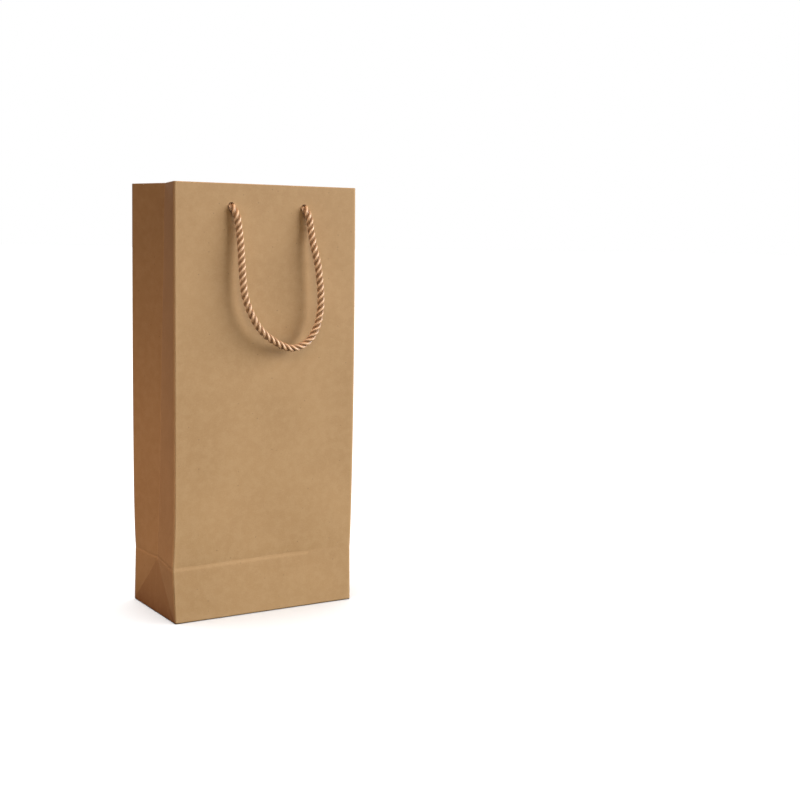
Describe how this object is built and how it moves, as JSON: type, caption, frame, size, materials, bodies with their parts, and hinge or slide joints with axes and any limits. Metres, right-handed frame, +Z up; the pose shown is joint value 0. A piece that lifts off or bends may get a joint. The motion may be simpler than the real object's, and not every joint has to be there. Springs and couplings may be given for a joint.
{
  "type": "paper wine gift bag",
  "caption": "Tall rectangular kraft paper bag with folded side gussets, block bottom, turned-in top edge and twisted rope handles knotted inside.",
  "frame": {"origin": "middle of the rectangular face that the bag rests on", "axes": "+Z up along the height, -Y out of the front panel, +X to the right along the width"},
  "size_m": [0.18, 0.133, 0.39],
  "materials": {
    "kraft_paper": "matte natural kraft, fine fibres",
    "card": "matte grey-brown card",
    "rope": "three-strand twisted cord with a satin sheen"
  },
  "bodies": {
    "root": {"front_panel": "kraft_paper", "back_panel": "kraft_paper", "left_gusset_front": "kraft_paper", "left_gusset_rear": "kraft_paper", "left_gusset_foot": "kraft_paper", "right_gusset_front": "kraft_paper", "right_gusset_rear": "kraft_paper", "right_gusset_foot": "kraft_paper", "side_seam_tab": "kraft_paper", "front_hem": "kraft_paper", "back_hem": "kraft_paper", "left_hem_front": "kraft_paper", "left_hem_rear": "kraft_paper", "right_hem_front": "kraft_paper", "right_hem_rear": "kraft_paper", "front_card": "card", "back_card": "card", "back_bottom_flap": "kraft_paper", "front_bottom_flap": "kraft_paper", "left_tuck_flap": "kraft_paper", "right_tuck_flap": "kraft_paper", "base_board": "card", "front_left_knot": "rope", "front_right_knot": "rope", "back_left_knot": "rope", "back_right_knot": "rope"},
    "front_handle": {"front_handle_rope": "rope"},
    "back_handle": {"back_handle_rope": "rope"}
  },
  "joints": [
    {"name": "front_handle_swing", "type": "hinge", "parent": "root", "child": "front_handle", "pos_m": [0, -0.055, 0.37], "axis": [-1, 0, 0], "range_deg": [0, 178]},
    {"name": "back_handle_swing", "type": "hinge", "parent": "root", "child": "back_handle", "pos_m": [0, 0.055, 0.37], "axis": [1, 0, 0], "range_deg": [0, 178]}
  ]
}
